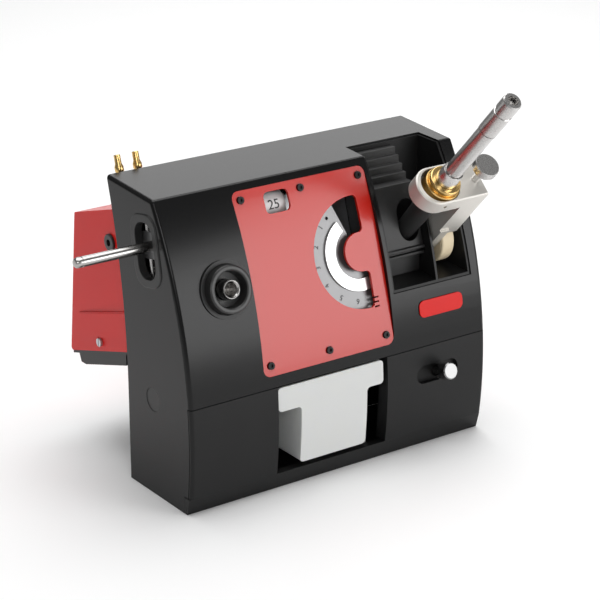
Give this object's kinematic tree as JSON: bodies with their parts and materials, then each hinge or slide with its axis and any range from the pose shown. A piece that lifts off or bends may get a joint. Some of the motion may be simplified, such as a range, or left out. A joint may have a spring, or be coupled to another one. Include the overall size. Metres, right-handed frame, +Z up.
{
  "type": "contact tip changing station",
  "caption": "Sloping black cabinet that changes the contact tip of a robot welding torch, with a tip bin, spindle port, feed dial, side rod and a swinging neck holder.",
  "frame": {"origin": "middle of the four base mounting holes, on the underside of the base tray", "axes": "+X to the right seen from the front, +Y to the back, +Z up"},
  "size_m": [0.425, 0.3498, 0.386],
  "materials": {
    "gloss_black": "gloss powder coat",
    "satin_black": "satin powder coat",
    "red": "gloss paint",
    "zinc_steel": "zinc plated",
    "black_steel": "black oxide",
    "steel": "ground",
    "polished_steel": "polished",
    "blasted_aluminium": "bead blasted",
    "silver_aluminium": "satin anodised",
    "brass": "turned",
    "copper": "turned copper alloy",
    "black_plastic": "moulded",
    "white_plastic": "translucent moulded",
    "cream_nylon": "turned nylon",
    "black_rubber": "moulded"
  },
  "bodies": {
    "housing": {"housing_shell": "gloss_black", "front_panel": "red", "panel_screws": "black_steel", "lower_left_cover": "satin_black", "lower_right_cover": "satin_black", "base_tray": "satin_black", "rear_cover": "satin_black", "rear_cover_screws": "zinc_steel", "side_plug": "black_plastic", "badge_plate": "red", "inner_frame": "zinc_steel", "frame_screws": "zinc_steel", "spindle_bearing": "steel", "magazine_bearing": "steel", "sector_bearing": "steel", "spindle_motor": "black_plastic", "magazine_motor": "black_plastic", "port_ring": "black_plastic", "port_boot": "black_rubber", "count_bracket": "zinc_steel", "side_slot_trim": "black_plastic", "rod_guides": "steel", "recess_liner": "satin_black", "compartment_divider": "satin_black", "hub_axle": "steel", "nozzle_block": "black_plastic", "torch_nozzle": "black_plastic", "bin_rails": "zinc_steel", "latch_rail": "black_plastic", "rear_box": "red", "box_side_flaps": "red", "box_strip": "black_plastic", "box_plate": "black_plastic", "rear_gland": "black_rubber", "air_manifold": "black_plastic", "air_fittings": "brass"},
    "spindle": {"spindle_shaft": "steel", "spindle_gear": "steel", "spindle_bushing": "polished_steel"},
    "spindle_pinion": {"spindle_pinion": "brass"},
    "magazine": {"magazine_disc": "silver_aluminium", "contact_tips": "copper", "magazine_gear": "black_plastic", "magazine_shaft": "steel"},
    "magazine_pinion": {"magazine_pinion": "brass"},
    "count_drum": {"count_drum": "white_plastic"},
    "sector": {"feed_sector": "silver_aluminium", "sector_shaft": "steel"},
    "rod": {"side_rod": "polished_steel", "rod_carriage": "silver_aluminium"},
    "bin": {"tip_bin": "white_plastic"},
    "latch": {"latch_knob": "polished_steel", "latch_slider": "black_steel"},
    "arm": {"neck_arm": "blasted_aluminium"},
    "nut": {"collar_nut": "brass"},
    "tube": {"neck_tube": "steel"},
    "thumb": {"thumb_screw": "steel"},
    "wheel": {"guide_wheel": "cream_nylon"},
    "box_latch": {"box_latch": "zinc_steel"}
  },
  "joints": [
    {"name": "spindle_turn", "type": "hinge", "parent": "housing", "child": "spindle", "pos_m": [-0.1207, -0.03851, 0.20944], "axis": [0, -0.9553, 0.2957], "continuous": true},
    {"name": "spindle_pinion_turn", "type": "hinge", "parent": "housing", "child": "spindle_pinion", "pos_m": [-0.1207, -0.00443, 0.16738], "axis": [0, -0.9553, 0.2957], "continuous": true},
    {"name": "magazine_turn", "type": "hinge", "parent": "housing", "child": "magazine", "pos_m": [-0.042, -0.02705, 0.18223], "axis": [0, -0.9553, 0.2957], "continuous": true},
    {"name": "magazine_pinion_turn", "type": "hinge", "parent": "housing", "child": "magazine_pinion", "pos_m": [-0.042, -0.0112, 0.13535], "axis": [0, -0.9553, 0.2957], "continuous": true},
    {"name": "count_turn", "type": "hinge", "parent": "housing", "child": "count_drum", "pos_m": [-0.0435, 0.00853, 0.26334], "axis": [1, 0, 0], "continuous": true},
    {"name": "sector_swing", "type": "hinge", "parent": "housing", "child": "sector", "pos_m": [0.039, -0.03736, 0.21316], "axis": [0, -0.9553, 0.2957], "range_deg": [-45, 3]},
    {"name": "rod_slide", "type": "slide", "parent": "housing", "child": "rod", "axis": [0, 0.1857, 0.9826], "range_m": [-0.02, 0.014]},
    {"name": "bin_slide", "type": "slide", "parent": "housing", "child": "bin", "axis": [0, -1, 0], "range_m": [0, 0.085]},
    {"name": "latch_slide", "type": "slide", "parent": "housing", "child": "latch", "axis": [1, 0, 0], "range_m": [-0.014, 0.014]},
    {"name": "arm_swing", "type": "hinge", "parent": "housing", "child": "arm", "pos_m": [0.13, -0.01256, 0.2], "axis": [1, 0, 0], "range_deg": [0, 30]},
    {"name": "nut_turn", "type": "hinge", "parent": "arm", "child": "nut", "pos_m": [0.106, -0.0712, 0.2774], "axis": [0, -0.682, 0.7314], "range_deg": [0, 360]},
    {"name": "tube_lift", "type": "slide", "parent": "arm", "child": "tube", "axis": [0, -0.682, 0.7314], "range_m": [0, 0.018]},
    {"name": "thumb_turn", "type": "hinge", "parent": "arm", "child": "thumb", "pos_m": [0.144, -0.07339, 0.27535], "axis": [0, -0.682, 0.7314], "range_deg": [0, 360]},
    {"name": "wheel_spin", "type": "hinge", "parent": "housing", "child": "wheel", "pos_m": [0.144, -0.01256, 0.2], "axis": [1, 0, 0], "continuous": true},
    {"name": "box_latch_turn", "type": "hinge", "parent": "housing", "child": "box_latch", "pos_m": [-0.165, 0.117, 0.117], "axis": [1, 0, 0], "range_deg": [0, 90]}
  ],
  "couplings": [
    {"joint": "spindle_pinion_turn", "follows": "spindle_turn", "ratio": -2},
    {"joint": "magazine_pinion_turn", "follows": "magazine_turn", "ratio": -3},
    {"joint": "count_turn", "follows": "magazine_turn", "ratio": 1}
  ]
}
